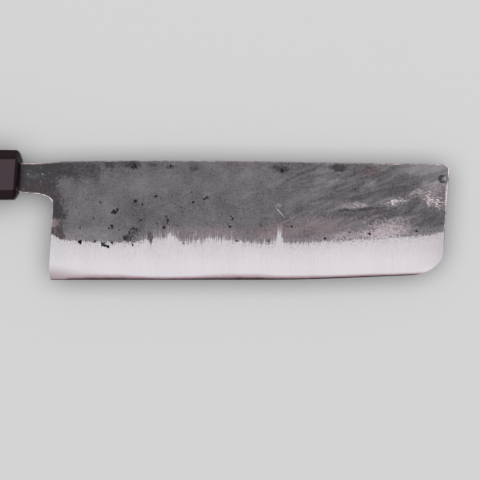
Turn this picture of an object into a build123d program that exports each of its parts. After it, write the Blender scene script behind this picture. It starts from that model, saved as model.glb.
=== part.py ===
from build123d import *
from math import cos, radians, sin, sqrt, tan
import os

# A vegetable knife lying on its side: X runs from the butt to the tip, Y from the cutting edge
# to the spine, and Z out of the right-hand face. While the pieces are made, X 0 is the heel,
# Y 0 the cutting edge and Z 0 the middle of the blade. Millimetres and degrees.

# Blade outline
blade_length = 166.2  # heel to the upper corner of the tip
blade_height = 49.7  # edge to the highest point of the spine
crown_from_heel = 45.0  # where the spine is highest
crown_round_share = 0.62  # share of the back slope that the rounded crown takes
spine_fall_back = 0.92  # slope of the spine towards the heel
spine_fall_front = 0.85  # slope of the spine towards the tip
tip_lean = 4.45  # how far the front leans back towards the edge
tip_corner_radius = 3.0
edge_rise_from_heel = 104.5  # where the edge turns up towards the chin
edge_rise = 2.4  # slope of the edge from there on
edge_curve_radius = 640.0
chin_height = 8.9  # edge to the place where the clipped chin meets the front
chin_angle = 48.0
chin_round_share = 0.75  # share of the clip that rounds into the edge
chin_straight_share = 0.02  # share of the clip that stays straight

# Heel, choil and neck
heel_lean = 2.95  # how far the heel leans forward towards the choil
heel_nick_height = 2.4  # foot of the heel, rubbed back
heel_nick_depth = 0.45
heel_nick_run = 0.8
heel_corner_radius = 0.8
choil_corner_drop = 2.1  # from the start of the choil's curve down to its corner
choil_corner_radius = 3.0
choil_start = 3.0  # where the underside of the neck turns down, behind the heel
choil_start_radius = 8.0
neck_length = 11.5  # heel to ferrule
neck_height = 12.2  # at the ferrule
neck_underside_slope = 5.1
neck_step = 0.66  # from the spine down to the neck
neck_step_back = 1.2  # foot of that step, behind the heel
neck_step_length = 5.7
neck_step_radius = 20.0

# Tang, inside the handle
tang_length = 88.0  # from the front of the ferrule
tang_root_height = 9.6
tang_end_height = 5.0
tang_end_thickness = 2.0
tang_bend_radius = 150.0
tang_shoulder_radius = 3.0
tang_end_radius = 1.5

# Thickness and grinding of the blade
neck_thickness = 3.1  # halfway along the neck, at the height of the crown
tip_thickness = 1.8  # at the height of the crown
flat_taper = 0.5  # thickness lost from the crown down to the shoulder of the bevel
bevel_height = 16.4  # edge to shoulder
edge_bevel_height = 1.45  # the last, steeper bevel
edge_bevel_thickness = 0.5  # thickness where it begins
edge_land = 0.04  # thickness left at the edge itself
grinding_steps = 24  # stretches of the grinding that follow the curved edge
core_thickness = 0.6
corner_easing = 0.3  # broken corners round the thick part of the blade

# Punch mark near the tip, on the right-hand face
mark_radius = 1.7
mark_depth = 0.32
mark_lean = 5.0
mark_draft = 20.0
mark_from_tip = 3.2
mark_from_spine = 6.1

# Handle, an octagon that widens towards the butt
front_height = 20.4
front_width = 17.5
front_chamfer = 3.9
butt_height = 24.0
butt_width = 20.6
butt_chamfer = 4.6
ferrule_length = 30.0
grip_length = 100.0
neck_below_axis = 1.2  # middle of the neck below the axis of the handle
nose_length = 2.2  # sloping front of the ferrule
nose_inset = 3.9
nose_shares = ((0.45, 0.3), (1, 1))  # of its length and inset, at its bend and at its front
nose_lean = 4.4
facet_easing = 0.35  # rounding between the facets
butt_easing = 1.2

# Joint of blade, ferrule and grip
ferrule_front_wall = 6.0
ferrule_wall = 1.9  # thinnest wall round the dowel
dowel_past_tang = 8.0
dowel_end_chamfer = 1.0
dowel_end_gap = 1.0
dowel_clearance = 0.1
tang_clearance = 0.15
slot_clearance = 0.4
slot_corner_radius = 0.8
seal_depth = 3.0

overrun = 5.0  # how far cutting shapes run past what they cut
edge_overrun = 0.1
upright = 0.01  # steepest slope of a face that still counts as a wall


def spine_at(x):
    # height of the spine over the edge line, before its crown is rounded
    if x < crown_from_heel:
        return blade_height - (crown_from_heel - x) * tan(radians(spine_fall_back))
    return blade_height - (x - crown_from_heel) * tan(radians(spine_fall_front))


def meet(p, angle_p, q, angle_q):
    # the point where two lines meet, each given by a point and its direction
    u = (cos(radians(angle_p)), sin(radians(angle_p)))
    v = (cos(radians(angle_q)), sin(radians(angle_q)))
    along = ((q[0] - p[0]) * v[1] - (q[1] - p[1]) * v[0]) / (u[0] * v[1] - u[1] * v[0])
    return (p[0] + along * u[0], p[1] + along * u[1])


# Places that follow from the sizes above
edge_curve_start = edge_rise_from_heel - edge_curve_radius * tan(radians(edge_rise) / 2)
neck_top = spine_at(0) - neck_step
neck_bottom = neck_top - neck_height
neck_middle = (neck_top + neck_bottom) / 2
handle_axis = neck_middle + neck_below_axis
ferrule_front = -neck_length
ferrule_back = ferrule_front - ferrule_length
butt = ferrule_back - grip_length
dowel_front = ferrule_front - ferrule_front_wall
tang_end = ferrule_front - tang_length
thickest = ferrule_front / 2
dowel_end = tang_end - dowel_past_tang


def between(x, x_a, size_a, x_b, size_b):
    # a size at x that changes steadily from one place to another
    return size_a + (size_b - size_a) * (x - x_a) / (x_b - x_a)


def thickness_at(x, y):
    # thickness of the flats at a point of the side view
    if x < thickest:
        at_crown = between(x, thickest, neck_thickness, tang_end, tang_end_thickness)
    else:
        at_crown = between(x, thickest, neck_thickness, blade_length, tip_thickness)
    return at_crown - flat_taper * (blade_height - y) / (blade_height - bevel_height)


dowel_bore_radius = between(dowel_front, ferrule_front, front_width, butt, butt_width) / 2 - ferrule_wall


def blade_outline():
    # side view of blade, neck and tang, corner by corner with the radius of each
    tip_top = (blade_length, spine_at(blade_length))
    front = 90 - tip_lean
    chin_front = meet(tip_top, front, (0, chin_height), 0)
    chin_edge = meet(chin_front, chin_angle, (edge_rise_from_heel, 0), edge_rise)
    clip = (Vector(*chin_front) - Vector(*chin_edge)).length
    chin_edge_radius = clip * chin_round_share / tan(radians(chin_angle - edge_rise) / 2)
    chin_rest_share = 1 - chin_round_share - chin_straight_share
    chin_front_radius = clip * chin_rest_share / tan(radians(front - chin_angle) / 2)
    crown_radius = crown_from_heel * crown_round_share / tan(radians(spine_fall_back + spine_fall_front) / 2)

    step_front = neck_step_length - neck_step_back
    heel_top = heel_nick_height + heel_nick_run
    choil_start_y = neck_bottom - (neck_length - choil_start) * tan(radians(neck_underside_slope))
    choil_y = choil_start_y - choil_corner_drop
    choil_x = (choil_y - heel_top) * tan(radians(heel_lean))
    end = tang_end_height / 2
    corners = [
        ((heel_nick_depth, 0), heel_corner_radius),
        ((edge_rise_from_heel, 0), edge_curve_radius),
        (chin_edge, chin_edge_radius),
        (chin_front, chin_front_radius),
        (tip_top, tip_corner_radius),
        ((crown_from_heel, blade_height), crown_radius),
        ((step_front, spine_at(step_front)), neck_step_radius),
        ((-neck_step_back, neck_top), neck_step_radius),
        ((ferrule_front, neck_top), tang_bend_radius),
        ((tang_end, handle_axis + end), tang_end_radius),
        ((tang_end, handle_axis - end), tang_end_radius),
        ((dowel_front, neck_top - tang_root_height), tang_shoulder_radius),
        ((ferrule_front, neck_bottom), tang_shoulder_radius),
        ((-choil_start, choil_start_y), choil_start_radius),
        ((choil_x, choil_y), choil_corner_radius),
        ((0, heel_top), 0),
        ((heel_nick_depth, heel_nick_height), 0),
    ]
    points, radii = zip(*corners)
    return make_face(FilletPolyline(points, radius=list(radii), close=True))


def edge_at(x):
    # height of the curved edge over its straight part
    bend = radians(edge_rise)
    past = x - edge_curve_start
    if past <= 0:
        return 0
    if past < edge_curve_radius * sin(bend):
        return edge_curve_radius - sqrt(edge_curve_radius**2 - past**2)
    return (x - edge_rise_from_heel) * tan(bend)


def flat_plane(x_a, x_b, side):
    # plane of one flat between two places along the bar; side is 1 on the right and -1 on the left
    a = Vector(x_a, blade_height, side * thickness_at(x_a, blade_height) / 2)
    b = Vector(x_b, blade_height, side * thickness_at(x_b, blade_height) / 2)
    low = Vector(x_b, bevel_height, side * thickness_at(x_b, bevel_height) / 2)
    outward = (b - a).cross(low - a)
    if outward.Z * side < 0:
        outward = -outward
    return Plane(origin=a, x_dir=b - a, z_dir=outward)


def grinding_section(x):
    # what grinding takes off the right-hand face at x, from below the edge to past the shoulder
    edge = edge_at(x)
    edge_slope = (edge_bevel_thickness - edge_land) / edge_bevel_height
    shoulder = edge + bevel_height
    shoulder_thickness = thickness_at(x, shoulder)
    slope = (shoulder_thickness - edge_bevel_thickness) / (bevel_height - edge_bevel_height)
    outside = neck_thickness + overrun
    return make_face(Polyline(
        (x, edge - edge_overrun, (edge_land - edge_slope * edge_overrun) / 2),
        (x, edge + edge_bevel_height, edge_bevel_thickness / 2),
        (x, shoulder + overrun, (shoulder_thickness + slope * overrun) / 2),
        (x, shoulder + overrun, outside),
        (x, edge - edge_overrun, outside),
        close=True,
    ))


def grinding():
    # both bevels of the right-hand face, led along the curved edge from past the heel to past the tip
    length = blade_length + 2 * overrun
    stations = [length * step / grinding_steps - overrun for step in range(grinding_steps + 1)]
    return loft([grinding_section(x) for x in stations])


def forging():
    # all three layers of blade, neck and tang in one
    blank = extrude(blade_outline(), amount=neck_thickness, both=True)
    for side in (1, -1):
        blank = split(blank, flat_plane(thickest, blade_length, side), keep=Keep.BOTTOM)
        blank = split(blank, flat_plane(thickest, tang_end, side), keep=Keep.BOTTOM)
    walls = [face for face in blank.faces() if abs(face.normal_at().Z) < upright]
    corners = [edge for face in walls for edge in face.edges() if abs(edge.center().Z) > core_thickness / 2]
    blank = fillet(corners, corner_easing)
    right = grinding()
    return blank - right - mirror(right, about=Plane.XY)


def punch_mark():
    # tapered punch, struck at a slant into the right-hand flat near the tip
    spread = tan(radians(mark_draft))
    x = blade_length - mark_from_tip
    y = spine_at(blade_length) - mark_from_spine
    punch = Cone(
        bottom_radius=mark_radius - mark_depth * spread,
        top_radius=mark_radius + overrun * spread,
        height=mark_depth + overrun,
        align=(Align.CENTER, Align.CENTER, Align.MIN),
    )
    return Pos(x, y, thickness_at(x, y) / 2) * Rot(0, mark_lean, 0) * Pos(0, 0, -mark_depth) * punch


def blade_layers(forged):
    # the hard core in the middle and the soft iron on its right and left
    over_core = Plane.XY.offset(core_thickness / 2)
    under_core = Plane.XY.offset(-core_thickness / 2)
    right = split(forged, over_core, keep=Keep.TOP) - punch_mark()
    left = split(forged, under_core, keep=Keep.BOTTOM)
    core = split(split(forged, over_core, keep=Keep.BOTTOM), under_core, keep=Keep.TOP)
    return core, right, left


def handle_section(x):
    # corners of the tapering octagon at x
    a = between(x, ferrule_front, front_height, butt, butt_height) / 2
    b = between(x, ferrule_front, front_width, butt, butt_width) / 2
    corner = between(x, ferrule_front, front_chamfer, butt, butt_chamfer)
    quarter = [(a, b - corner), (a - corner, b)]
    upper = quarter + [(-y, z) for y, z in reversed(quarter)]
    lower = [(y, -z) for y, z in reversed(upper)]
    return [Vector(x, handle_axis + y, z) for y, z in upper + lower]


def nose_rings(back):
    # the octagon where the nose begins, where it bends and at its front, all a little out of square
    square = handle_section(ferrule_front)
    out_of_square = Vector(1, -tan(radians(nose_lean)), 0)
    middle = Vector(ferrule_front - nose_length, handle_axis, 0)
    begin = []
    for behind, ahead in zip(back, square):
        along = ahead - behind
        begin.append(behind + along * ((middle - behind).dot(out_of_square) / along.dot(out_of_square)))
    rings = [begin]
    for length_share, inset_share in nose_shares:
        centre = middle + Vector(nose_length * length_share, 0, 0)
        narrowed = 1 - inset_share * nose_inset / (front_height / 2)
        rings.append([centre + (corner - middle) * narrowed for corner in begin])
    return rings


def handle_form():
    # outside of ferrule and grip in one, from the butt to the sloping nose
    back = handle_section(butt)
    rings = [back] + nose_rings(back)
    facets = [make_face(Polyline(ring, close=True)) for ring in (rings[0], rings[-1])]
    for behind, ahead in zip(rings, rings[1:]):
        for i in range(len(behind)):
            corners = (behind[i - 1], behind[i], ahead[i], ahead[i - 1])
            facets.append(make_face(Polyline(corners, close=True)))
    form = Solid(Shell(facets))
    butt_ring, *others = form.edges().group_by(Axis.X)
    form = fillet([edge for group in others for edge in group], facet_easing)
    return fillet(form.faces().sort_by(Axis.X)[0].edges(), butt_easing)


def bore(x_a, x_b, radius):
    # round bar along the axis of the handle, from x_a forward to x_b
    bar = Cylinder(radius, x_b - x_a, align=(Align.CENTER, Align.CENTER, Align.MIN))
    return Pos(x_a, handle_axis, 0) * Rot(0, 90, 0) * bar


def neck_slot(depth):
    # rounded slot for the neck, from in front of the ferrule back to a depth in its wall
    height = neck_height + 2 * slot_clearance
    width = thickness_at(ferrule_front, neck_top) + 2 * slot_clearance
    mouth = Plane(origin=(ferrule_front + overrun, neck_middle, 0), x_dir=(0, 1, 0), z_dir=(-1, 0, 0))
    return extrude(mouth * RectangleRounded(height, width, slot_corner_radius), amount=overrun + depth)


def make_ferrule(form):
    blank = split(form, Plane.YZ.offset(ferrule_back), keep=Keep.TOP)
    return blank - neck_slot(ferrule_front_wall) - bore(ferrule_back, dowel_front, dowel_bore_radius)


def make_grip(form):
    blank = split(form, Plane.YZ.offset(ferrule_back), keep=Keep.BOTTOM)
    return blank - bore(dowel_end - dowel_end_gap, ferrule_back, dowel_bore_radius)


def make_dowel():
    # round pin with a tapering slot that the tang is driven into
    pin = bore(dowel_end, dowel_front, dowel_bore_radius - dowel_clearance)
    pin = chamfer(pin.edges().filter_by(GeomType.CIRCLE), dowel_end_chamfer)
    end = tang_end_height / 2 + tang_clearance
    top = between(dowel_front, ferrule_front, neck_top, tang_end, handle_axis + tang_end_height / 2)
    corners = [
        (dowel_front, top + tang_clearance),
        (tang_end - tang_clearance, handle_axis + end),
        (tang_end - tang_clearance, handle_axis - end),
        (dowel_front, neck_top - tang_root_height - tang_clearance),
    ]
    slot = make_face(Polyline(corners, close=True))
    half_width = thickness_at(dowel_front, neck_top) / 2 + tang_clearance
    return pin - extrude(slot, amount=half_width, both=True)


def make_seal(form, forged):
    # sealant that fills the mouth of the slot round the neck
    return (neck_slot(seal_depth) & form) - forged


forged = forging()
form = handle_form()
core, right, left = blade_layers(forged)
parts = {
    "core_steel": core,
    "cladding_right": right,
    "cladding_left": left,
    "ferrule": make_ferrule(form),
    "grip": make_grip(form),
    "dowel": make_dowel(),
    "neck_seal": make_seal(form, forged),
}

# The finished knife stands with the middle of its underside on the origin.
box = Compound([solid for part in parts.values() for solid in part.solids()]).bounding_box()
to_origin = Pos(-box.center().X, -box.center().Y, -box.min.Z)
print("overall size", box.size)
print("heel, edge line and blade middle lie at", to_origin.position)

os.makedirs("parts", exist_ok=True)
for name, part in parts.items():
    export_step(to_origin * part, f"parts/{name}.step")
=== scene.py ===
import math

import bmesh
import bpy
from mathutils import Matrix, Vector


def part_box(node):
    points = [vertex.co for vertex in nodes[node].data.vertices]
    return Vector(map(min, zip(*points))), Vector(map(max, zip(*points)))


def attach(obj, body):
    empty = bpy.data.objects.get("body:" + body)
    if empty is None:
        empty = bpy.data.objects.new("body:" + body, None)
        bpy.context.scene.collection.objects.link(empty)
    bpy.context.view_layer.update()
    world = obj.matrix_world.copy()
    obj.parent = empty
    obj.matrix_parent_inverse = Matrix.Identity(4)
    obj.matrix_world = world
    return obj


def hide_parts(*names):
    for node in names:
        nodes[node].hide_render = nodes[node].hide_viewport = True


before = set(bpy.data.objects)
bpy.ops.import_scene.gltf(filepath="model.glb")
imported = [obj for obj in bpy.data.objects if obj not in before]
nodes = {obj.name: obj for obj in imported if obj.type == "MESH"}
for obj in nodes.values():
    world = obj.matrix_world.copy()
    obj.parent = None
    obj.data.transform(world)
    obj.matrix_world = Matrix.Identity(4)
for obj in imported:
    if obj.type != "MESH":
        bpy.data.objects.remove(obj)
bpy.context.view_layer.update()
scene = bpy.context.scene

# Blade space: millimetres from the heel, over the edge line and off the middle of the blade
bladeReach = 0.16596  # heel to the foremost point of the tip
coreLow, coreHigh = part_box("core_steel")
gripLow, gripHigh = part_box("grip")
bladeZero = Vector((coreHigh.x - bladeReach, coreLow.y, (coreLow.z + coreHigh.z) / 2))
handleAxis = (gripLow + gripHigh) / 2
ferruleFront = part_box("ferrule")[1].x  # where the blade comes out of the handle
millimetre = 1000  # per metre

# Short names for the kinds of node used most, with Blender's own name and the settings that go with it.
# A fade is written as where it starts and ends and, where that isn't 0 and 1, what it gives there.
shortKinds = {
    "fade": ("ShaderNodeMapRange", {"interpolation_type": "SMOOTHSTEP"}),
    "blend": ("ShaderNodeMix", {"data_type": "RGBA"}),
}
mathKinds = ("ABSOLUTE", "ADD", "DIVIDE", "MAXIMUM", "MULTIPLY", "MULTIPLY_ADD", "SMOOTH_MAX", "SUBTRACT")
for operation in mathKinds:
    shortKinds[operation] = ("ShaderNodeMath", {"operation": operation})


def linear(hexCode):
    # sRGB hex to the linear colour that a socket takes
    channels = [int(hexCode[i:i + 2], 16) / 255 for i in (0, 2, 4)]
    return [c / 12.92 if c <= 0.04045 else ((c + 0.055) / 1.055) ** 2.4 for c in channels] + [1.0]


def addNode(tree, kind, *values, give=None, **settings):
    # one node: values, hex colours and links go to its open inputs in turn, or by name in a dictionary,
    # and the output of the given name comes back, or else the first open one
    kind, usual = shortKinds.get(kind, (kind, {}))
    node = tree.nodes.new(kind)
    for name, value in {**usual, **settings}.items():
        setattr(node, name, value)
    inTurn = [i for i, socket in enumerate(node.inputs) if socket.enabled]
    named = values[0] if values and isinstance(values[0], dict) else dict(zip(inTurn, values))
    for key, value in named.items():
        socket = node.inputs[key]
        if isinstance(value, bpy.types.NodeSocket):
            tree.links.new(value, socket)
        else:
            socket.default_value = linear(value) if socket.type == "RGBA" else value
    return node.outputs[give] if give else next((socket for socket in node.outputs if socket.enabled), None)


def inputsOf(table):
    # in every dictionary below, the entries with a capital are named as the inputs that they go to
    return {key: value for key, value in table.items() if key[0].isupper()}


edgeLine = {
    "riseStart": 104.5,  # millimetres from the heel, where the edge turns up
    "riseSlope": math.tan(math.radians(2.4)),
    "blend": 0.4,
}


def bladePlace(tree, position):
    # a position in metres to blade space: the point, how far along, and how high over the curved edge
    point = addNode(tree, "ShaderNodeVectorMath", position, bladeZero, operation="SUBTRACT")
    point = addNode(tree, "ShaderNodeVectorMath", point, millimetre, operation="SCALE")
    axes = addNode(tree, "ShaderNodeSeparateXYZ", point).node.outputs
    past = addNode(tree, "SUBTRACT", axes["X"], edgeLine["riseStart"])
    rise = addNode(tree, "MULTIPLY", past, edgeLine["riseSlope"])
    edge = addNode(tree, "SMOOTH_MAX", rise, 0.0, edgeLine["blend"])
    return point, axes["X"], addNode(tree, "SUBTRACT", axes["Y"], edge)


# Pits in the forge scale, in blade space: along, over the edge line, radius
rightPits = [
    (12.9, 15.7, 0.75), (13.6, 16.0, 0.5), (19.0, 15.9, 0.35), (22.4, 14.8, 0.75), (23.6, 14.2, 0.6),
    (24.5, 13.7, 0.5), (25.9, 15.6, 0.5), (26.5, 14.9, 0.3), (34.9, 14.6, 0.3), (27.3, 28.2, 0.85),
    (28.4, 28.9, 0.65), (26.4, 27.6, 0.6), (26.2, 22.0, 0.65), (24.9, 21.3, 0.3), (35.9, 32.6, 0.7),
    (38.9, 31.3, 0.35), (38.0, 24.9, 0.4), (44.3, 34.7, 0.5), (48.9, 25.9, 0.35), (49.2, 24.6, 0.5),
    (47.6, 21.8, 0.6), (45.0, 23.2, 0.3), (65.4, 34.1, 0.45), (64.4, 33.4, 0.3), (59.1, 36.5, 0.3),
    (68.8, 35.6, 0.25), (59.8, 32.1, 0.35), (76.0, 25.4, 0.45), (75.4, 26.2, 0.25), (74.9, 22.1, 0.45),
    (77.9, 16.2, 0.4), (90.6, 16.3, 0.35), (87.9, 22.7, 0.3), (100.7, 22.1, 0.4), (114.4, 17.4, 0.45),
    (132.9, 19.2, 0.45), (134.5, 20.9, 0.4), (133.4, 23.2, 0.35), (152.4, 20.3, 0.5), (124.6, 19.9, 0.3),
    (35.9, 47.2, 0.7), (34.7, 46.4, 0.5), (50.6, 47.2, 0.45), (96.6, 45.2, 0.6), (32.2, 18.2, 0.5),
    (31.6, 17.2, 0.6), (33.4, 19.6, 0.45), (36.2, 20.4, 0.4), (34.9, 21.2, 0.35),
]
leftPits = [
    (8.4, 21.5, 0.5), (17.0, 33.2, 0.6), (18.1, 32.4, 0.4), (31.5, 16.2, 0.5), (33.0, 15.6, 0.35),
    (41.2, 27.5, 0.45), (55.6, 38.4, 0.5), (56.9, 37.5, 0.35), (63.3, 19.8, 0.55), (79.4, 30.6, 0.4),
    (88.0, 16.0, 0.45), (97.5, 41.0, 0.5), (109.1, 24.4, 0.5), (110.3, 23.5, 0.3), (121.7, 35.6, 0.4),
    (130.8, 18.4, 0.5), (143.2, 28.9, 0.6), (144.4, 28.1, 0.4), (156.0, 21.9, 0.4),
]

forging = {
    "cell": 0.0005,  # side of the squares that the faces are cut into
    "coveredNeck": 0.001,  # how far the squares reach into the ferrule
    "weld": 1e-6,  # corners closer than this are one
    "touch": 1e-7,  # corners closer to a cut than this lie on it
    "planeAngle": 0.1,  # degrees, under which neighbouring triangles are one plane
    "facing": 0.9,  # how squarely a face looks outwards to count as the flat or the bevel
    "narrow": 0.5,  # under which it counts as one of the blade's narrow sides
    "neck": (-12.6, -11.0),  # millimetres along, where the marks begin in front of the ferrule
    "foot": (-1.0, 1.5),  # millimetres over the Scale Foot, where they begin over the bevel
    "pitRim": (0.2, -0.35),  # millimetres outside the rim of a pit, from level to full depth
    "dents": {"Detail": 3.0, "Roughness": 0.45},
    "dentSeed": 1.7,  # keeps the dents of the two faces apart
    "sharpAngle": 25,  # degrees, over which an edge between two faces stays sharp
    "Dent Size": 0.007,  # hammer marks, across
    "Dent Depth": 0.00009,
    "Pit Depth": 0.00016,
    "Pit Density": 6000.0,  # small pits per square metre
    "Pit Spacing": 0.003,
    "Smallest Pit": 0.00012,
    "Largest Pit": 0.00032,
    "Scale Foot": 16.6,  # millimetres over the edge, where the forge scale is ground off
}


def sliceFaces(work, faces, axis, cuts):
    # cuts the faces at each place along one axis, from low to high
    normal = Vector([1.0 if i == axis else 0.0 for i in range(3)])
    ready = []
    for cut in cuts:
        touched = set(faces)
        for face in faces:
            touched.update(face.edges)
            touched.update(face.verts)
        result = bmesh.ops.bisect_plane(
            work, geom=list(touched), dist=forging["touch"], plane_co=normal * cut, plane_no=normal)
        pieces = [part for part in result["geom"] if isinstance(part, bmesh.types.BMFace)]
        faces = [face for face in pieces if face.calc_center_bounds()[axis] > cut]
        ready += [face for face in pieces if face.calc_center_bounds()[axis] <= cut]
    return ready + faces


def fineCopy(name, side):
    # a copy of a cladding whose outer face is cut into small squares from the ferrule to the tip
    mesh = nodes[name].data.copy()
    mesh.attributes.remove(mesh.attributes["custom_normal"])
    work = bmesh.new()
    work.from_mesh(mesh)
    bmesh.ops.remove_doubles(work, verts=work.verts, dist=forging["weld"])
    plane = math.radians(forging["planeAngle"])
    bmesh.ops.dissolve_limit(work, angle_limit=plane, verts=work.verts, edges=work.edges)
    low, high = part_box(name)
    start = ferruleFront - forging["coveredNeck"]
    cell = forging["cell"]
    faces = [face for face in work.faces if face.normal.z * side > forging["facing"]]
    faces = sliceFaces(work, faces, 0, [start + i * cell for i in range(int((high.x - start) / cell) + 1)])
    faces = [face for face in faces if face.calc_center_bounds().x > start]
    sliceFaces(work, faces, 1, [low.y + i * cell for i in range(1, int((high.y - low.y) / cell) + 1)])
    work.to_mesh(mesh)
    work.free()
    piece = bpy.data.objects.new(name + "_forged", mesh)
    scene.collection.objects.link(piece)
    return piece


def pitMarks(name, pits):
    # the larger pits as points that carry their radius
    points = [Vector((x, y, 0)) / millimetre + bladeZero for x, y, radius in pits]
    mesh = bpy.data.meshes.new(name)
    mesh.from_pydata(points, [], [])
    reach = mesh.attributes.new("reach", "FLOAT", "POINT")
    reach.data.foreach_set("value", [radius / millimetre for x, y, radius in pits])
    marks = bpy.data.objects.new(name, mesh)
    scene.collection.objects.link(marks)
    return marks


def nearestPit(tree, given, keeps, position):
    # small pits scattered where scale is kept, joined with the larger ones: millimetres to the nearest rim
    some = addNode(tree, "FunctionNodeCompare", keeps, 0.5)
    small = addNode(tree, "GeometryNodeDistributePointsOnFaces", {
        "Mesh": given["Geometry"], "Selection": some, "Distance Min": given["Pit Spacing"],
        "Density Max": given["Pit Density"], "Seed": given["Seed"]}, distribute_method="POISSON")
    size = addNode(tree, "FunctionNodeRandomValue", {
        2: given["Smallest Pit"], 3: given["Largest Pit"], "Seed": given["Seed"]})
    small = addNode(tree, "GeometryNodeStoreNamedAttribute", {
        "Geometry": small, "Name": "reach", "Value": size})
    large = addNode(tree, "GeometryNodeObjectInfo", given["Marks"], give="Geometry")
    large = addNode(tree, "GeometryNodeMeshToPoints", large)
    pits = addNode(tree, "GeometryNodeJoinGeometry")
    for points in (large, small):
        tree.links.new(points, pits.node.inputs[0])

    level = addNode(tree, "ShaderNodeVectorMath", position, (1.0, 1.0, 0.0), operation="MULTIPLY")
    pits = addNode(tree, "GeometryNodeSetPosition", {"Geometry": pits, "Position": level})
    nearest = addNode(tree, "GeometryNodeSampleNearest", pits, level)
    reach = addNode(tree, "GeometryNodeInputNamedAttribute", "reach")
    reach = addNode(tree, "GeometryNodeSampleIndex", pits, reach, nearest)
    centre = addNode(tree, "GeometryNodeSampleIndex", pits, position, nearest, data_type="FLOAT_VECTOR")
    away = addNode(tree, "ShaderNodeVectorMath", level, centre, operation="DISTANCE")
    return addNode(tree, "MULTIPLY", addNode(tree, "SUBTRACT", away, reach), millimetre)


def forgedFace(side):
    # Geometry Nodes: hammer dents and scattered pits, sunk into the part of a face that keeps its scale
    tree = bpy.data.node_groups.new("forgedFace", "GeometryNodeTree")
    inputs = [("Geometry", "Geometry"), ("Marks", "Object"), ("Finish", "Material"), ("Seed", "Int")]
    inputs += [(name, "Float") for name in inputsOf(forging)]
    for name, kind in inputs:
        tree.interface.new_socket(name, in_out="INPUT", socket_type="NodeSocket" + kind)
    tree.interface.new_socket("Geometry", in_out="OUTPUT", socket_type="NodeSocketGeometry")
    given = addNode(tree, "NodeGroupInput").node.outputs
    position = addNode(tree, "GeometryNodeInputPosition")
    normal = addNode(tree, "GeometryNodeInputNormal")
    facing = addNode(tree, "MULTIPLY", addNode(tree, "ShaderNodeSeparateXYZ", normal, give="Z"), side)

    # 1 on the flat over the bevel, 0 on the bevel, inside the ferrule and on the narrow sides
    along, height = bladePlace(tree, position)[1:]
    keeps = addNode(tree, "fade", addNode(tree, "SUBTRACT", height, given["Scale Foot"]), *forging["foot"])
    keeps = addNode(tree, "MULTIPLY", keeps, addNode(tree, "ShaderNodeMapRange", along, *forging["neck"]))
    keeps = addNode(tree, "MULTIPLY", keeps, addNode(tree, "FunctionNodeCompare", facing, forging["facing"]))
    gap = nearestPit(tree, given, keeps, position)
    pit = addNode(tree, "fade", gap, *forging["pitRim"])

    # how far each corner is from the blade's narrow sides, where handling wears the scale away
    upright = addNode(tree, "ABSOLUTE", facing)
    upright = addNode(tree, "FunctionNodeCompare", upright, forging["narrow"], operation="LESS_THAN")
    sides = addNode(tree, "GeometryNodeSeparateGeometry", given["Geometry"], upright, domain="FACE")
    rim = addNode(tree, "GeometryNodeProximity", {
        "Geometry": sides, "Sample Position": position}, give="Distance")
    rim = addNode(tree, "MULTIPLY", rim, millimetre)

    # the dents and pits sink the face inwards
    seed = addNode(tree, "MULTIPLY", given["Seed"], forging["dentSeed"])
    dentScale = addNode(tree, "DIVIDE", 1.0, given["Dent Size"])
    dent = addNode(tree, "ShaderNodeTexNoise", {
        "Vector": position, "W": seed, "Scale": dentScale, **forging["dents"]}, noise_dimensions="4D")
    sink = addNode(tree, "MULTIPLY", dent, given["Dent Depth"])
    sink = addNode(tree, "MULTIPLY_ADD", pit, given["Pit Depth"], sink)
    sink = addNode(tree, "MULTIPLY", addNode(tree, "MULTIPLY", sink, keeps), -side)
    shape = given["Geometry"]
    for name, value in (("pitGap", gap), ("dent", dent), ("rim", rim)):
        shape = addNode(tree, "GeometryNodeStoreNamedAttribute", {
            "Geometry": shape, "Name": name, "Value": value})
    offset = addNode(tree, "ShaderNodeCombineXYZ", {"Z": sink})
    shape = addNode(tree, "GeometryNodeSetPosition", {"Geometry": shape, "Offset": offset})
    shape = addNode(tree, "GeometryNodeRealizeInstances", shape)
    shape = addNode(tree, "GeometryNodeSetMaterial", {"Geometry": shape, "Material": given["Finish"]})
    addNode(tree, "NodeGroupOutput", {"Geometry": shape})
    return tree


def forge(name, side, pits, seed, material):
    # the finished cladding in place of the plain one
    piece = fineCopy(name, side)
    marks = pitMarks(name + "_marks", pits)
    tree = forgedFace(side)
    modifier = piece.modifiers.new("forgedFace", "NODES")
    modifier.node_group = tree
    values = {**inputsOf(forging), "Marks": marks, "Finish": material, "Seed": seed}
    for item in tree.interface.items_tree:
        if item.in_out == "INPUT" and item.name in values:
            modifier[item.identifier] = values[item.name]
    graph = bpy.context.evaluated_depsgraph_get()
    finished = bpy.data.meshes.new_from_object(piece.evaluated_get(graph))
    piece.modifiers.clear()
    piece.data = finished
    finished.materials.clear()
    finished.materials.append(material)
    bpy.data.objects.remove(marks)
    finished.shade_smooth()
    finished.set_sharp_from_angle(angle=math.radians(forging["sharpAngle"]))
    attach(piece, "root")
    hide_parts(name)
    print(f"{name}: {len(finished.polygons)} faces forged")
    return piece


def newMaterial(name):
    material = bpy.data.materials.new(name)
    material.use_nodes = True
    material.node_tree.nodes.clear()
    return material, material.node_tree


def finishMaterial(material, height, relief, inputs):
    # every finish of the knife ends in a bump of so much strength and depth, in millimetres, and one shader
    tree = material.node_tree
    strength, depth = relief
    bump = addNode(tree, "ShaderNodeBump", {
        "Height": height, "Strength": strength, "Distance": depth / millimetre})
    surface = addNode(tree, "ShaderNodeBsdfPrincipled", {**inputs, "Normal": bump})
    addNode(tree, "ShaderNodeOutputMaterial", {"Surface": surface})
    return material


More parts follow.
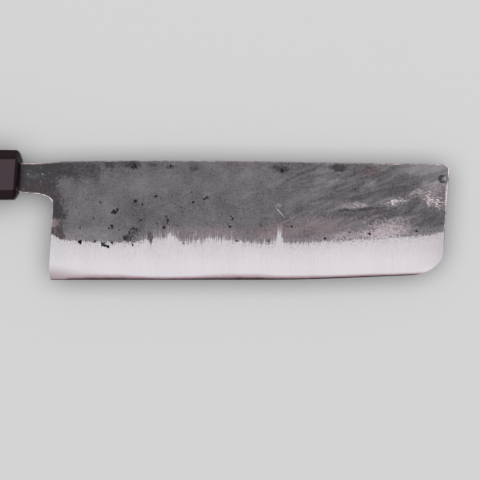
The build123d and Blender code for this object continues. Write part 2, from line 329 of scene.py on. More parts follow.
def layMarks(tree, point, marks):
    # noise for each kind of mark, as long and as wide as its size in millimetres, and faded where it says so
    laid = {}
    for name, mark in marks.items():
        long, wide = mark["size"]
        turn = math.radians(mark.get("turn", 0))
        local = addNode(tree, "ShaderNodeMapping", {
            "Vector": point, "Rotation": (0.0, 0.0, turn),
            "Scale": (long, wide, wide)}, vector_type="TEXTURE")
        laid[name] = addNode(tree, "ShaderNodeTexNoise", {"Vector": local, "Scale": 1.0, **inputsOf(mark)})
        if "fade" in mark:
            laid[name] = addNode(tree, "fade", laid[name], *mark["fade"])
    return laid


def around(tree, value, strength, base):
    # base plus the strength times how far the value is from a half
    return addNode(tree, "MULTIPLY_ADD", addNode(tree, "SUBTRACT", value, 0.5), strength, base)


def drawnCurve(tree, along, points, span):
    # a value drawn along the blade, through pairs of millimetres from the heel and value, that
    # stays between the low and high end of its span
    low, high = span
    start, end = points[0][0], points[-1][0]
    place = addNode(tree, "ShaderNodeMapRange", along, start, end)
    curve = addNode(tree, "ShaderNodeFloatCurve", {"Value": place})
    mapping = curve.node.mapping
    line = mapping.curves[0]
    spots = [((x - start) / (end - start), (value - low) / (high - low)) for x, value in points]
    line.points[0].location, line.points[1].location = spots[0], spots[-1]
    for spot in spots[1:-1]:
        line.points.new(*spot)
    for knot in line.points:
        knot.handle_type = "AUTO_CLAMPED"
    mapping.update()
    return addNode(tree, "ShaderNodeMapRange", curve, 0.0, 1.0, low, high)


# Ovals on the blade: place and reach in millimetres, turn in degrees, and what they change inside
usualOval = {"turn": 0, "fade": 0.7, "ragged": 0.5}
deep = 1000.0  # millimetres, so that an oval reaches through the blade


def ovalMask(tree, point, oval, wobble):
    # 1 in the middle of an oval on the blade, fading to 0 at its ragged rim
    oval = {**usualOval, **oval}
    ragged = oval["ragged"] * min(oval["reach"])
    moved = addNode(tree, "ShaderNodeVectorMath", wobble, ragged, operation="SCALE")
    moved = addNode(tree, "ShaderNodeVectorMath", point, moved, operation="ADD")
    local = addNode(tree, "ShaderNodeMapping", {
        "Vector": moved, "Location": (*oval["at"], 0.0), "Rotation": (0.0, 0.0, math.radians(oval["turn"])),
        "Scale": (*oval["reach"], deep)}, vector_type="TEXTURE")
    off = addNode(tree, "ShaderNodeVectorMath", local, operation="LENGTH")
    return addNode(tree, "fade", off, 1.0, 1.0 - oval["fade"])


def sumOvals(tree, point, ovals, wobble, start):
    # fields that start at one value all over the blade and change inside the ovals that name them
    fields = dict(start)
    for oval in ovals:
        mask = ovalMask(tree, point, oval, wobble)
        for field in fields:
            if field in oval:
                fields[field] = addNode(tree, "MULTIPLY_ADD", mask, oval[field], fields[field])
    return fields


# Soft iron and carbon steel, ground bare on a wheel and finished on stones: bright upright lines, stained
# brown along the edge where the blade has cut and been wiped
groundBevel = {
    "dark": "8f8b8e",
    "light": "b4b0b3",
    # painted shade on the bevel, at the heel and at the front
    "bevelShade": "827579",
    "brown": "8e797f",
    "edge": "281d1f",  # darkest at the very edge
    # by millimetres over the edge; the first is painted sheen that lightens the bevel towards the edge
    "bright": (15.5, 4.5, 0.64, 0.98),
    "lineDepth": (6.0, 15.0, 0.5, 0.9),  # how much the wheel's lines change the brightness
    "hatchDepth": (4.0, 15.0, 0.3, 0.9),
    "wideDepth": 0.3,
    "heelSlope": 0.17,  # the painted shade at the heel falls towards the front
    "heelShade": (7.5, 1.0, 0.0, 0.84),
    # how high over the edge the stain starts, in millimetres, along the blade
    "stainTop": [(-1, 1), (5, 1.1), (8, 1.8), (13, 2.3), (24, 2.8), (38, 2.1), (48, 1.8), (58, 2),
                 (71, 2.9), (80, 3.1), (91, 2.7), (98, 2.3), (104, 2.3), (117, 1.9), (131, 1.7),
                 (150, 1.3), (168, 1.2)],
    "stainSpan": (0.6, 3.5),
    "stainRagged": 0.2,
    "brownShare": (1.0, 0.35),  # of the stain's height
    "edgeShare": (0.5, 0.1),
    "roughness": 0.36,
    "relief": (0.3, 0.03),  # of the core's honed strip
}
bevelMarks = {
    "lines": {"size": (0.3, 14.0), "Detail": 4.0, "Roughness": 0.65},  # coarser than the real 0.1 mm, to show
    "wide": {"size": (7.0, 30.0)},
    "hatch": {"size": (0.4, 1.6), "Roughness": 0.7},
    "stain": {"size": (4.0, 1.5), "Detail": 3.0},
}


def groundSteel(tree, point, along, height):
    # the wheel's upright lines, a little brighter towards the edge as painted sheen, painted shade at the
    # heel and the brown stain
    marks = layMarks(tree, point, bevelMarks)
    bright = addNode(tree, "fade", height, *groundBevel["bright"])
    bright = around(tree, marks["lines"], addNode(tree, "fade", height, *groundBevel["lineDepth"]), bright)
    bright = around(tree, marks["hatch"], addNode(tree, "fade", height, *groundBevel["hatchDepth"]), bright)
    bright = around(tree, marks["wide"], groundBevel["wideDepth"], bright)
    colour = addNode(tree, "blend", bright, groundBevel["dark"], groundBevel["light"])
    heel = addNode(tree, "MULTIPLY_ADD", along, groundBevel["heelSlope"], height)
    heel = addNode(tree, "fade", heel, *groundBevel["heelShade"])
    colour = addNode(tree, "blend", heel, colour, groundBevel["bevelShade"])
    top = drawnCurve(tree, along, groundBevel["stainTop"], groundBevel["stainSpan"])
    share = addNode(tree, "DIVIDE", height, top)
    share = around(tree, marks["stain"], groundBevel["stainRagged"], share)
    brown = addNode(tree, "fade", share, *groundBevel["brownShare"])
    colour = addNode(tree, "blend", brown, colour, groundBevel["brown"])
    edge = addNode(tree, "fade", share, *groundBevel["edgeShare"])
    return marks["lines"], addNode(tree, "blend", edge, colour, groundBevel["edge"])


# Forge-black iron: scale left from the fire on the flats, worn by handling. It gives a dull charcoal skin,
# mottled and pitted, with a paler haze where it has worn thin, and bare iron along the rim that in places is
# widened into painted highlight lines.
blackIron = {
    "oldScale": "242326",
    "thinScale": "7f7d80",
    "rust": "70585f",
    "haze": "bbadb2",  # scale worn so thin that the iron shines through
    # bare iron, also used as painted highlight lines along some edges
    "wornAndHighlight": "d3c4c8",
    "pit": "0e0c0e",
    "wobble": {"Scale": 0.7, "Detail": 4.0, "Roughness": 0.6},  # per millimetre
    "wobbleReach": 2.6,
    "seedStep": (31.0, 17.0, 0.0),  # millimetres between the patterns of one face and the next
    # the line where the wheel stopped: millimetres over the edge, and how far its teeth stand out
    "lineSpan": (14.0, 21.0),
    "teethSpan": (0.0, 3.0),
    "toothReach": 3.8,
    "whiskerReach": 2.4,
    "stipple": (92.0, 112.0, 1.0, 4.0),  # along the blade, how far specks scatter the line
    "lineFade": (92.0, 112.0, -0.2, -0.8),  # along the blade, millimetres over the line, where scale ends
    "groundFrom": 0.5,  # millimetres under the line, where all is ground
    "leftOver": (3.4, 0.4),  # millimetres under the line, where specks of scale are left standing
    "strokeHeight": (-5.0, 0.3),  # faint strokes of the wheel over the line
    "strokeShine": (0.46, 0.66),
    "strokeStrength": 0.42,
    # the skin over it
    "front": (70.0, 120.0, 0.1, 1.0),  # smears up to the right are on the front half
    "dentTone": -0.25,
    "dotTone": -0.3,
    "rustShare": (0.35, 0.65),
    "lowHaze": (-5.0, 0.0, 0.0, 0.16),  # millimetres under the line
    "hazeShare": (0.2, 0.8, 0.5, 1.5),
    "rimWidth": (0.5, 0.1),  # millimetres from the narrow sides
    "rimRagged": -0.7,
    "pitRagged": 2.8,
    "pitRim": (0.22, -0.02),  # millimetres outside the rim of a pit
    "pitGloss": 0.5,  # how far a pit on the flat mirrors no more than its own black; on the bevel it is 1
    "metallic": (0.25, 1.0),
    "roughness": (0.3, 0.7, 0.62, 0.46),
    "grainRelief": 0.6,
    "relief": (0.4, 0.04),
}

# noise patterns of the iron: "tone" is how much lighter and darker they turn the skin
ironMarks = {
    "mottle": {"size": (7.0, 7.0), "Detail": 6.0, "Roughness": 0.68, "tone": 0.42},
    "speck": {"size": (0.9, 0.9), "Detail": 3.0, "Roughness": 0.75, "tone": 0.65},
    "grain": {"size": (0.42, 0.42), "Detail": 1.0, "tone": 0.8},
    "level": {"size": (5.0, 0.4), "Roughness": 0.7, "tone": 0.4},  # faint brush marks
    "upright": {"size": (0.4, 5.0), "Roughness": 0.7, "tone": 0.3},
    "smear": {"size": (15.0, 3.0), "turn": 22, "Detail": 4.0, "Roughness": 0.6, "Distortion": 1.0},
    "streak": {"size": (14.0, 2.0), "turn": 20, "Distortion": 0.8, "fade": (0.48, 0.76, -0.08, 0.28)},
    "dot": {"size": (1.0, 1.0), "Roughness": 0.6, "fade": (0.64, 0.7)},  # dark dots
    "fleck": {"size": (1.5, 0.9), "fade": (0.36, 0.28)},  # pale flecks of the neck
    "wisp": {"size": (1.5, 0.36), "turn": -6, "Detail": 3.0, "Roughness": 0.7, "Distortion": 1.2,
             "fade": (0.45, 0.58)},
    "rim": {"size": (2.0, 2.0), "Detail": 3.0},  # makes the worn rim uneven
    "tooth": {"size": (0.42, 6.0), "Roughness": 0.7},  # coarser than the real strokes, to show
    "whisker": {"size": (0.28, 6.0), "Detail": 1.0},
    "left": {"size": (0.45, 0.6), "Roughness": 0.6, "fade": (0.53, 0.66, 0.0, 0.8)},  # specks left standing
}

# what ovals change, and its value outside them
plainScale = {"tone": 0.48, "pink": 0.1, "haze": 0.0, "bare": 0.0, "fleck": 0.0, "rim": 0.5, "bevelShade": 0.0}

# what the two faces show, oval by oval, in blade space
rightPatches = [
    # the neck stays black, with painted shade darkest next to the ferrule, and worn corners widened into
    # painted highlight lines along the neck and the heel
    {"at": (-7, 43), "reach": (14, 10), "tone": -0.5, "fade": 0.5, "fleck": 0.9},
    {"at": (-4, 42.8), "reach": (10, 3), "turn": -4, "tone": 0.16, "pink": -0.1},
    {"at": (-4.6, 38.8), "reach": (11, 3.4), "turn": -10, "tone": -0.42, "pink": 0.15},
    {"at": (2, 43.5), "reach": (9, 7), "tone": -0.14},
    {"at": (-5.5, 35), "reach": (9, 3.4), "turn": -12, "rim": 0.8, "fade": 0.3, "ragged": 0.2},
    {"at": (1, 29), "reach": (3, 8), "rim": 0.6, "fade": 0.4},
    {"at": (-8, 48), "reach": (6, 2), "rim": 1.0, "fade": 0.3},
    # the heel end, and the larger light and dark places of the flat
    {"at": (7, 46), "reach": (20, 5), "turn": -5, "tone": -0.36, "fade": 0.7, "ragged": 0.3},
    {"at": (24, 48.4), "reach": (28, 3.6), "tone": -0.18, "ragged": 0.5},
    {"at": (0, 29), "reach": (9, 14), "tone": -0.4},
    {"at": (20, 19.6), "reach": (15, 4), "tone": 0.28},
    {"at": (4, 26), "reach": (5.5, 9), "tone": -0.2},
    {"at": (19.4, 44), "reach": (4, 7), "tone": -0.2},
    {"at": (2.5, 35.6), "reach": (3, 2.4), "turn": -40, "tone": -0.42, "pink": 0.3, "ragged": 0.8},
    {"at": (3.3, 28.1), "reach": (2.6, 3.4), "tone": -0.42, "fade": 0.5},
    {"at": (2.1, 23.1), "reach": (3, 3.2), "haze": 0.3, "pink": 0.6},
    {"at": (3.5, 19.2), "reach": (4.4, 2.5), "turn": -38,
     "tone": -1.1, "pink": 0.35, "haze": -0.4, "fade": 0.5},
    {"at": (19, 28), "reach": (13, 8), "turn": -12, "tone": 0.12},
    {"at": (36.5, 28.6), "reach": (10, 6), "tone": -0.1},
    {"at": (45, 39.6), "reach": (14, 6), "tone": 0.16},
    {"at": (84, 41), "reach": (14, 7), "tone": 0.12},
    # dark spots over the shoulder and under the spine
    {"at": (34.8, 18.6), "reach": (4.6, 3.2), "turn": 30, "tone": -0.55, "ragged": 1.3, "fade": 0.9},
    {"at": (42, 17.4), "reach": (1.3, 2.9), "tone": -0.8, "pink": 0.5, "haze": -0.2, "fade": 0.5},
    {"at": (32.8, 17.2), "reach": (2.6, 1.8), "tone": -0.5, "haze": -0.15, "ragged": 0.9},
    {"at": (25.3, 47.6), "reach": (3, 1.9), "tone": -0.32, "ragged": 1.0},
    {"at": (34.8, 47.4), "reach": (4.6, 2.2), "tone": -0.56, "ragged": 0.8, "fade": 0.9},
    {"at": (43, 47.5), "reach": (2.6, 1.2), "tone": -0.25},
    {"at": (50.5, 46.8), "reach": (4, 1.5), "tone": -0.34, "ragged": 1.0},
    {"at": (60.3, 46.2), "reach": (2.8, 1.8), "tone": -0.3, "ragged": 0.8},
    {"at": (96.6, 45.8), "reach": (6.2, 2.6), "turn": -12, "tone": -0.6, "ragged": 0.7, "fade": 1.0},
    {"at": (119.9, 46.2), "reach": (5.6, 2.2), "turn": -8, "tone": -0.72, "ragged": 0.6, "fade": 0.8},
    # rust and haze, which grow towards the tip
    {"at": (133, 44.9), "reach": (6, 2.6), "tone": -0.14, "pink": 0.9, "ragged": 0.9},
    {"at": (80, 47), "reach": (12, 3), "pink": 0.4},
    {"at": (66, 19.8), "reach": (24, 4), "haze": 0.1, "pink": 0.4},
    {"at": (93, 19.8), "reach": (12, 5), "haze": 0.1, "pink": 0.9, "ragged": 0.9},
    {"at": (112, 22), "reach": (22, 7), "haze": 0.16, "pink": 0.9, "ragged": 1.2, "fade": 1.0},
    {"at": (140.5, 20.8), "reach": (15, 5.2), "turn": 4,
     "haze": 0.62, "pink": 0.5, "ragged": 1.1, "fade": 0.9},
    {"at": (130, 18.4), "reach": (22, 3), "turn": 3, "haze": 0.33, "ragged": 0.9},
    # light and dark places of the front half
    {"at": (136, 27.2), "reach": (17, 2.8), "turn": 3, "tone": -0.3, "pink": 0.2, "ragged": 0.8},
    {"at": (157.5, 25), "reach": (12, 5.4),
     "tone": -0.24, "haze": -0.08, "pink": 0.2, "ragged": 0.5, "fade": 1.0},
    {"at": (146, 37.2), "reach": (12, 2.6), "turn": 15, "tone": -0.16, "fade": 1.0},
    {"at": (124.5, 34), "reach": (10, 3), "turn": 25, "tone": -0.1, "fade": 1.0},
    {"at": (157, 46), "reach": (18, 4.4), "turn": 5, "tone": 0.66, "haze": 0.1, "rim": 0.3, "fade": 1.0},
    {"at": (149, 42.4), "reach": (12, 2.8), "turn": 12, "tone": -0.1},
    {"at": (159, 41.4), "reach": (8, 5), "tone": 0.16},
    {"at": (130, 44), "reach": (16, 5), "tone": -0.14},
    # wiped streaks, and iron rubbed bare
    {"at": (132, 39), "reach": (5.6, 1.4), "turn": 30, "haze": 0.22, "ragged": 1.0},
    {"at": (118, 41), "reach": (4.4, 1), "turn": 18, "haze": 0.2, "pink": 0.4, "ragged": 1.0},
    {"at": (110, 37.6), "reach": (4, 1), "turn": 12, "haze": 0.12, "ragged": 1.0},
    {"at": (125.4, 30.9), "reach": (9, 2.1), "turn": -2,
     "bare": 0.2, "haze": 0.14, "pink": 0.3, "ragged": 1.0},
    {"at": (129, 31), "reach": (4.4, 1), "turn": -8, "bare": 0.3, "ragged": 0.9},
    {"at": (129, 29.2), "reach": (13, 0.9), "turn": 4, "tone": -0.4, "fade": 0.5, "ragged": 0.3},
    {"at": (143.6, 32.4), "reach": (7.8, 2.2), "turn": 5, "bare": 1.0, "ragged": 1.1, "fade": 0.9},
    {"at": (151.4, 35.8), "reach": (5, 1.6), "turn": 25, "bare": 0.45, "ragged": 1.2},
    {"at": (158.6, 33.2), "reach": (9, 4.2), "turn": -28, "bare": 0.85, "ragged": 1.0, "fade": 0.9},
    {"at": (161, 38.4), "reach": (8, 4.4), "haze": 0.24, "bare": 0.2, "ragged": 1.2, "fade": 1.0},
    {"at": (95.7, 28.1), "reach": (3.6, 0.35), "turn": -48, "bare": 0.8, "haze": 0.3, "ragged": 0.2},
    {"at": (95.2, 31), "reach": (2, 1.2), "haze": 0.24},
    # the rim of the tip and a spot of the spine, worn bare and pale and widened into painted highlight lines
    {"at": (165, 33), "reach": (3.6, 15), "turn": -4, "rim": 0.8, "fade": 0.4},
    {"at": (165.1, 34.5), "reach": (1.2, 8.5), "turn": -3,
     "haze": 1.0, "bare": 0.5, "fade": 0.6, "ragged": 0.2},
    {"at": (164, 46.2), "reach": (6, 3), "rim": 0.9, "fade": 0.4},
    {"at": (143, 48.6), "reach": (8, 1.6), "rim": 0.8, "bare": 0.5, "pink": 0.3},
    # the punch mark: no worn rim round it, painted shade on its left wall and painted light on its right
    {"at": (163, 41.6), "reach": (3, 3), "rim": -2.0, "fade": 0.3, "ragged": 0.0},
    {"at": (162.8, 41.7), "reach": (1.7, 1.9), "tone": -1.1, "haze": -1.0, "fade": 0.35, "ragged": 0.1},
    {"at": (163.7, 41.9), "reach": (1.3, 1.2), "tone": 1.2, "haze": 1.0, "fade": 0.5, "ragged": 0.1},
    # painted shade on the front of the bevel
    {"at": (166, 12), "reach": (16, 18), "bevelShade": 0.36, "fade": 1.0, "ragged": 0.1},
]
leftPatches = [
    # the neck darker, with painted shade next to the ferrule, and its lower rim widened into a painted
    # highlight line
    {"at": (-7, 43), "reach": (13, 9), "tone": -0.36, "fade": 0.5, "fleck": 0.8},
    {"at": (-6, 34.4), "reach": (8.5, 3), "rim": 0.7},
    {"at": (20, 40), "reach": (18, 8), "turn": 8, "tone": -0.16},
    # the heel darker and pinker, its rim widened into a painted highlight line
    {"at": (2.6, 26), "reach": (2.4, 7), "tone": -0.3, "pink": 0.4, "rim": 0.5},
    {"at": (37, 21), "reach": (10, 4), "tone": -0.3, "pink": 0.6, "ragged": 1.0},
    {"at": (44, 46.5), "reach": (5, 2), "tone": -0.5, "ragged": 1.1},
    {"at": (58, 44), "reach": (12, 4), "turn": -4, "tone": 0.2},
    {"at": (74, 24), "reach": (13, 6), "tone": -0.1, "pink": 0.6, "haze": 0.1},
    {"at": (88, 32), "reach": (4, 0.35), "turn": 30, "bare": 0.8, "haze": 0.3, "ragged": 0.2},
    {"at": (92, 36), "reach": (15, 5), "turn": -12, "tone": 0.16},
    {"at": (108, 20), "reach": (14, 4), "haze": 0.4, "pink": 0.4, "ragged": 1.0},
    {"at": (122, 45.6), "reach": (7, 2), "tone": -0.55, "ragged": 0.9},
    {"at": (131, 30), "reach": (7, 1.9), "turn": -8, "bare": 0.9, "haze": 0.12, "ragged": 1.1},
    {"at": (150, 25), "reach": (14, 5), "tone": -0.34, "pink": 0.3},
    {"at": (154, 40), "reach": (12, 6), "turn": -10, "haze": 0.26},
    {"at": (156, 31), "reach": (6, 2.4), "turn": 12, "bare": 0.8, "ragged": 1.0},
    # the rim of the tip, worn bare and widened into a painted highlight line
    {"at": (165, 33), "reach": (3.6, 15), "turn": -4, "rim": 0.8, "fade": 0.4},
    # painted shade on the front of the bevel
    {"at": (166, 12), "reach": (16, 18), "bevelShade": 0.3, "fade": 1.0, "ragged": 0.1},
]

# millimetres over the edge that the wheel reached, and how long its teeth are, along the blade
rightShoulder = {
    "line": [(-1, 19.6), (1.2, 19.2), (2.9, 17.9), (4.6, 17.2), (6.2, 16.7), (12.8, 16.4), (17, 16),
             (25, 15.7), (34, 15.7), (38.5, 16.2), (40.9, 17), (41.7, 15.2), (42.5, 15.3), (43.3, 17.2),
             (46, 17.2), (48.8, 16.9), (49.5, 19.8), (50.8, 19.2), (52.6, 18.1), (54.4, 16.8),
             (56.6, 15.9), (59, 16), (64, 16.9), (68.8, 17.4), (73, 17), (77, 16.4), (84, 15.8),
             (88.3, 15.4), (92, 15.8), (94, 16.4), (94.6, 18.4), (95.3, 20), (96.3, 19.8), (96.9, 15.8),
             (98, 15.3), (101, 15.2), (110, 15.3), (120.6, 15.4), (129, 15.5), (141, 15.8), (149.6, 15.9),
             (157.9, 16.4), (163.3, 17), (168, 17.4)],
    "teeth": [(-1, 0.5), (12, 0.6), (38, 0.8), (44, 1.6), (48, 1.8), (50, 1.3), (54, 1.5), (62, 1.7),
              (74, 1.7), (85, 1.3), (94, 1.8), (97.5, 1.2), (101, 0.7), (130, 0.7), (152, 0.8),
              (168, 1.2)],
}
leftShoulder = {
    "line": [(-1, 17.2), (8, 16.6), (20, 17), (33, 15.8), (52, 15.6), (66, 16.4), (71, 18.2), (74, 17.2),
             (80, 16), (101, 15.4), (118, 15.2), (134, 16), (150, 16.9), (168, 17.4)],
    "teeth": [(-1, 0.6), (20, 1.3), (36, 0.6), (60, 0.8), (71, 2), (82, 1), (120, 0.6), (150, 1.3),
              (168, 1)],
}


def wheelLine(tree, marks, along, height, shoulder):
    # millimetres under the ragged line where the wheel stopped, and the faint strokes that it left over it
    foot = drawnCurve(tree, along, shoulder["line"], blackIron["lineSpan"])
    length = drawnCurve(tree, along, shoulder["teeth"], blackIron["teethSpan"])
    jagged = around(tree, marks["whisker"], blackIron["whiskerReach"], 0.0)
    jagged = around(tree, marks["tooth"], blackIron["toothReach"], jagged)
    reach = addNode(tree, "MULTIPLY_ADD", jagged, length, foot)
    stipple = addNode(tree, "fade", along, *blackIron["stipple"])
    under = around(tree, marks["speck"], stipple, addNode(tree, "SUBTRACT", reach, height))
    strokes = addNode(tree, "fade", marks["whisker"], *blackIron["strokeShine"])
    strokes = addNode(tree, "MULTIPLY", strokes, addNode(tree, "fade", under, *blackIron["strokeHeight"]))
    length = addNode(tree, "MULTIPLY", length, blackIron["strokeStrength"])
    return under, addNode(tree, "MULTIPLY", strokes, length)


def wheelGround(tree, marks, along, under):
    # 1 where the wheel took the scale off, but for specks that it left standing
    rim = addNode(tree, "fade", along, *blackIron["lineFade"])
    ground = addNode(tree, "fade", under, rim, blackIron["groundFrom"])
    left = addNode(tree, "fade", under, *blackIron["leftOver"])
    left = addNode(tree, "MULTIPLY", marks["left"], left)
    return addNode(tree, "MULTIPLY", ground, addNode(tree, "SUBTRACT", 1.0, left))


def scaleColour(tree, marks, fields, along):
    # mottling, specks, grain and faint brush marks all over, with smears up to the right on the front half
    front = addNode(tree, "fade", along, *blackIron["front"])
    tone = fields["tone"]
    for name, mark in ironMarks.items():
        if "tone" in mark:
            tone = around(tree, marks[name], mark["tone"], tone)
    tone = around(tree, marks["smear"], front, tone)
    tone = addNode(tree, "MULTIPLY_ADD", marks["streak"], front, tone)
    dent = addNode(tree, "ShaderNodeAttribute", give="Fac", attribute_name="dent")
    tone = around(tree, dent, blackIron["dentTone"], tone)
    tone = addNode(tree, "MULTIPLY_ADD", marks["dot"], blackIron["dotTone"], tone)
    tone = addNode(tree, "MULTIPLY_ADD", marks["fleck"], fields["fleck"], tone)
    colour = addNode(tree, "blend", tone, blackIron["oldScale"], blackIron["thinScale"])
    rust = addNode(tree, "fade", marks["speck"], *blackIron["rustShare"])
    rust = addNode(tree, "MULTIPLY", fields["pink"], rust)
    return addNode(tree, "blend", rust, colour, blackIron["rust"])


def wearScaleAndHighlights(tree, marks, fields, under, strokes, colour):
    # haze just over the shoulder and in worn places, then bare metal in rubbed places and along the rim,
    # widened in places into painted highlight lines
    low = addNode(tree, "fade", under, *blackIron["lowHaze"])
    share = around(tree, marks["grain"], 1.0, marks["speck"])
    share = addNode(tree, "fade", share, *blackIron["hazeShare"])
    haze = addNode(tree, "MULTIPLY", addNode(tree, "ADD", fields["haze"], low), share)
    haze = addNode(tree, "MAXIMUM", haze, strokes, use_clamp=True)
    colour = addNode(tree, "blend", haze, colour, blackIron["haze"])
    rim = addNode(tree, "ShaderNodeAttribute", give="Fac", attribute_name="rim")
    rim = around(tree, marks["rim"], blackIron["rimRagged"], rim)
    rim = addNode(tree, "fade", rim, *blackIron["rimWidth"])
    rim = addNode(tree, "MULTIPLY", rim, fields["rim"])
    bare = addNode(tree, "MULTIPLY", fields["bare"], marks["wisp"])
    bare = addNode(tree, "MAXIMUM", bare, rim, use_clamp=True)
    return bare, addNode(tree, "blend", bare, colour, blackIron["wornAndHighlight"])


def forgedIron(name, patches, shoulder, seed):
    material, tree = newMaterial(name)
    position = addNode(tree, "ShaderNodeTexCoord", give="Object")
    point, along, height = bladePlace(tree, position)
    step = Vector(blackIron["seedStep"]) * seed
    moved = addNode(tree, "ShaderNodeVectorMath", point, step, operation="ADD")
    wobble = addNode(tree, "ShaderNodeTexNoise", {"Vector": moved, **blackIron["wobble"]}, give="Color")
    wobble = addNode(tree, "ShaderNodeVectorMath", wobble, (0.5, 0.5, 0.5), operation="SUBTRACT")
    wobble = addNode(tree, "ShaderNodeVectorMath", wobble, blackIron["wobbleReach"], operation="SCALE")
    fields = sumOvals(tree, point, patches, wobble, plainScale)
    marks = layMarks(tree, moved, ironMarks)
    under, strokes = wheelLine(tree, marks, along, height, shoulder)
    ground = wheelGround(tree, marks, along, under)
    scale = scaleColour(tree, marks, fields, along)
    bare, scale = wearScaleAndHighlights(tree, marks, fields, under, strokes, scale)
    lines, bevel = groundSteel(tree, point, along, height)
    # painted shade on the front of the bevel, where the ovals lay it
    bevel = addNode(tree, "blend", fields["bevelShade"], bevel, groundBevel["bevelShade"])
    colour = addNode(tree, "blend", ground, scale, bevel)

    # pits keep their black whether the wheel passed them or not
    gap = addNode(tree, "ShaderNodeAttribute", give="Fac", attribute_name="pitGap")
    gap = around(tree, marks["speck"], blackIron["pitRagged"], gap)
    pit = addNode(tree, "fade", gap, *blackIron["pitRim"])
    colour = addNode(tree, "blend", pit, colour, blackIron["pit"])

    # what is bare or ground shines as metal
    shiny = addNode(tree, "MAXIMUM", bare, ground)
    shiny = addNode(tree, "MULTIPLY", shiny, addNode(tree, "SUBTRACT", 1.0, pit))
    black = addNode(tree, "MULTIPLY_ADD", ground, blackIron["pitGloss"], blackIron["pitGloss"])
    gloss = addNode(tree, "MAXIMUM", shiny, addNode(tree, "MULTIPLY", pit, black))
    metallic = addNode(tree, "ShaderNodeMapRange", gloss, 0.0, 1.0, *blackIron["metallic"])
    dull = addNode(tree, "fade", marks["mottle"], *blackIron["roughness"])
    roughness = addNode(tree, "ShaderNodeMix", shiny, dull, groundBevel["roughness"])
    skin = around(tree, marks["grain"], blackIron["grainRelief"], marks["speck"])
    skin = addNode(tree, "ShaderNodeMix", ground, skin, lines)
    return finishMaterial(material, skin, blackIron["relief"], {
        "Base Color": colour, "Metallic": metallic, "Roughness": roughness})


def honedSteel():
    # high-carbon steel, honed on stones: as bright as the bevel it runs on from, brown at the very edge
    material, tree = newMaterial("honedCarbonSteel")
    position = addNode(tree, "ShaderNodeTexCoord", give="Object")
    lines, colour = groundSteel(tree, *bladePlace(tree, position))
    return finishMaterial(material, lines, groundBevel["relief"], {
        "Base Color": colour, "Metallic": 1.0, "Roughness": groundBevel["roughness"]})


def handleMarks(tree, marks):
    # marks on Object coordinates in millimetres from the middle of the handle
    position = addNode(tree, "ShaderNodeTexCoord", give="Object")
    centred = addNode(tree, "ShaderNodeVectorMath", position, handleAxis, operation="SUBTRACT")
    point = addNode(tree, "ShaderNodeVectorMath", centred, millimetre, operation="SCALE")
    return layMarks(tree, point, marks)


# Laminated wood soaked with resin, polished on a wheel: near black, wine red where light falls straight on it
ferruleWood = {
    "dark": "0b0407",
    "red": "210d15",
    "shine": "f8dde9",
    "marks": {
        "fibre": {"size": (14.0, 0.5), "Detail": 4.0, "Roughness": 0.6},
        "band": {"size": (30.0, 4.0)},
    },
    "fibreShare": 0.6,
    "redFrom": (0.5, 1.05),
    "roughness": (0.3, 0.7, 0.2, 0.3),
    "relief": (0.15, 0.03),
    "IOR": 1.48,
}


def resinWood():
    material, tree = newMaterial("polishedResinWood")
    marks = handleMarks(tree, ferruleWood["marks"])
    red = addNode(tree, "MULTIPLY_ADD", marks["fibre"], ferruleWood["fibreShare"], marks["band"])
    red = addNode(tree, "fade", red, *ferruleWood["redFrom"])
    colour = addNode(tree, "blend", red, ferruleWood["dark"], ferruleWood["red"])
    roughness = addNode(tree, "fade", marks["fibre"], *ferruleWood["roughness"])
    return finishMaterial(material, marks["fibre"], ferruleWood["relief"], {
        "Base Color": colour, "Roughness": roughness, "Specular Tint": ferruleWood["shine"],
        **inputsOf(ferruleWood)})


# Rosewood, sanded fine and oiled: open pores and dark bands along the grip
gripWood = {
    "dark": "2c120b",
    "mid": "5c2816",
    "light": "86482a",
    "marks": {
        "band": {"size": (120.0, 3.0), "Detail": 6.0, "Roughness": 0.62, "Distortion": 0.3},
        "fibre": {"size": (40.0, 0.45), "Detail": 4.0, "Roughness": 0.7},
        "pore": {"size": (5.0, 0.28), "Detail": 1.0, "fade": (0.62, 0.7)},
    },
    "fibreShare": 0.5,
    "midFrom": (0.36, 0.62),
    "lightFrom": (0.45, 0.8, 0.0, 0.8),
    "roughness": (0.3, 0.7, 0.36, 0.48),
    "relief": (0.4, 0.05),
    "IOR": 1.47,
}


def oiledRosewood():
    material, tree = newMaterial("oiledRosewood")
    marks = handleMarks(tree, gripWood["marks"])
    mid = around(tree, marks["fibre"], gripWood["fibreShare"], marks["band"])
    mid = addNode(tree, "fade", mid, *gripWood["midFrom"])
    colour = addNode(tree, "blend", mid, gripWood["dark"], gripWood["mid"])
    light = addNode(tree, "fade", marks["fibre"], *gripWood["lightFrom"])
    colour = addNode(tree, "blend", light, colour, gripWood["light"])
    colour = addNode(tree, "blend", marks["pore"], colour, gripWood["dark"])
    roughness = addNode(tree, "fade", marks["fibre"], *gripWood["roughness"])
    sunk = addNode(tree, "SUBTRACT", marks["fibre"], marks["pore"])
    return finishMaterial(material, sunk, gripWood["relief"], {
        "Base Color": colour, "Roughness": roughness, **inputsOf(gripWood)})


# Plain hardwood, turned on a lathe and left bare: pale, even and matt
dowelWood = {
    "light": "c9a678",
    "dark": "a67f52",
    "marks": {"fibre": {"size": (24.0, 0.9), "Detail": 4.0, "Roughness": 0.6}},
    "relief": (0.3, 0.05),
    "Roughness": 0.6,
}


def turnedHardwood():
    material, tree = newMaterial("turnedHardwood")
    fibre = handleMarks(tree, dowelWood["marks"])["fibre"]
    colour = addNode(tree, "blend", fibre, dowelWood["dark"], dowelWood["light"])
    return finishMaterial(material, fibre, dowelWood["relief"], {"Base Color": colour, **inputsOf(dowelWood)})


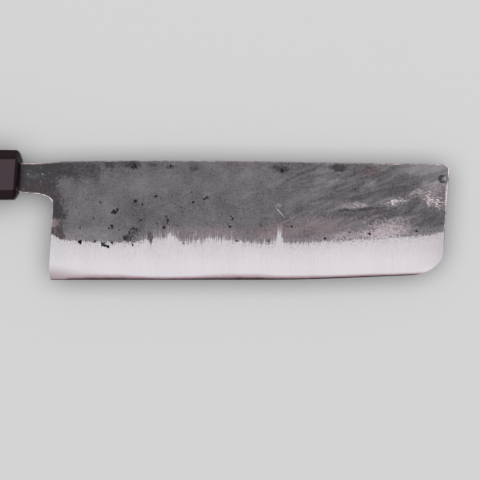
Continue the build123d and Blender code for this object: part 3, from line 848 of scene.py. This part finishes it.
# Black sealing compound, pressed in and wiped off: smeared, and shiny only in places
sealant = {
    "black": "141213",
    "grey": "232022",
    "marks": {"smear": {"size": (0.6, 0.6), "Detail": 3.0}},
    "roughness": (0.3, 0.7, 0.45, 0.7),
    "relief": (0.5, 0.1),
}


def wipedSealant():
    material, tree = newMaterial("wipedSealant")
    smear = handleMarks(tree, sealant["marks"])["smear"]
    colour = addNode(tree, "blend", smear, sealant["black"], sealant["grey"])
    roughness = addNode(tree, "fade", smear, *sealant["roughness"])
    return finishMaterial(material, smear, sealant["relief"], {"Base Color": colour, "Roughness": roughness})


def finishNode(name, material):
    # a carried-over solid keeps its shape and gets its finish
    mesh = nodes[name].data
    mesh.materials.clear()
    mesh.materials.append(material)


# Studio: a camera straight above the blade, one very large soft light and a room that is light all round
studio = {
    "distance": 1.2,  # camera over the blade
    "viewWidth": 0.1989,  # what the picture spans at the blade
    "fromHeel": 0.0792,  # middle of the picture
    "overEdge": 0.0165,
    "sensor": 36.0,
    "nearest": 0.01,  # what the camera sees begins here
    "lightSize": (2.6, 2.2),
    "lightOffset": (0.02, 0.1, 1.5),
    "lightPower": 25.0,
    "room": "9f9fa2",  # the light that comes from all round
    "backdrop": "d3d3d4",  # what the camera sees past the end of the floor
    "floor": "d9d9d9",  # pale matt paper
    "mirrored": "8c8c8e",  # the floor as polished surfaces reflect it, as dim as a real room
    "floorSize": 6.0,
    "paperRoughness": 0.9,
}


def buildStudio():
    target = bladeZero + Vector((studio["fromHeel"], studio["overEdge"], 0))
    data = bpy.data.cameras.new("overheadCamera")
    data.sensor_width = studio["sensor"]
    data.lens = studio["sensor"] * studio["distance"] / studio["viewWidth"]
    data.clip_start = studio["nearest"]
    camera = bpy.data.objects.new("overheadCamera", data)
    camera.location = target + Vector((0, 0, studio["distance"]))
    scene.collection.objects.link(camera)
    scene.camera = camera

    lamp = bpy.data.lights.new("softbox", "AREA")
    lamp.shape = "RECTANGLE"
    lamp.size, lamp.size_y = studio["lightSize"]
    lamp.energy = studio["lightPower"]
    softbox = bpy.data.objects.new("softbox", lamp)
    softbox.location = target + Vector(studio["lightOffset"])
    scene.collection.objects.link(softbox)

    world = bpy.data.worlds.new("room")
    world.use_nodes = True
    tree = world.node_tree
    tree.nodes.clear()
    seen = addNode(tree, "ShaderNodeLightPath", give="Is Camera Ray")
    colour = addNode(tree, "blend", seen, studio["room"], studio["backdrop"])
    back = addNode(tree, "ShaderNodeBackground", {"Color": colour})
    addNode(tree, "ShaderNodeOutputWorld", {"Surface": back})
    scene.world = world

    half = studio["floorSize"] / 2
    mesh = bpy.data.meshes.new("floor")
    corners = [(-half, -half, 0), (half, -half, 0), (half, half, 0), (-half, half, 0)]
    mesh.from_pydata(corners, [], [(0, 1, 2, 3)])
    floor = bpy.data.objects.new("floor", mesh)
    scene.collection.objects.link(floor)
    material, tree = newMaterial("palePaperFloor")
    mirrored = addNode(tree, "ShaderNodeLightPath", give="Is Glossy Ray")
    paper = addNode(tree, "blend", mirrored, studio["floor"], studio["mirrored"])
    surface = addNode(tree, "ShaderNodeBsdfPrincipled", {
        "Base Color": paper, "Roughness": studio["paperRoughness"]})
    addNode(tree, "ShaderNodeOutputMaterial", {"Surface": surface})
    mesh.materials.append(material)
    scene.view_settings.view_transform = "Standard"


forge("cladding_right", 1, rightPits, 3, forgedIron("forgeBlackIronRight", rightPatches, rightShoulder, 0))
forge("cladding_left", -1, leftPits, 8, forgedIron("forgeBlackIronLeft", leftPatches, leftShoulder, 5))
finishNode("core_steel", honedSteel())
finishNode("ferrule", resinWood())
finishNode("grip", oiledRosewood())
finishNode("dowel", turnedHardwood())
finishNode("neck_seal", wipedSealant())
print("materials ready")
buildStudio()
print("studio ready")
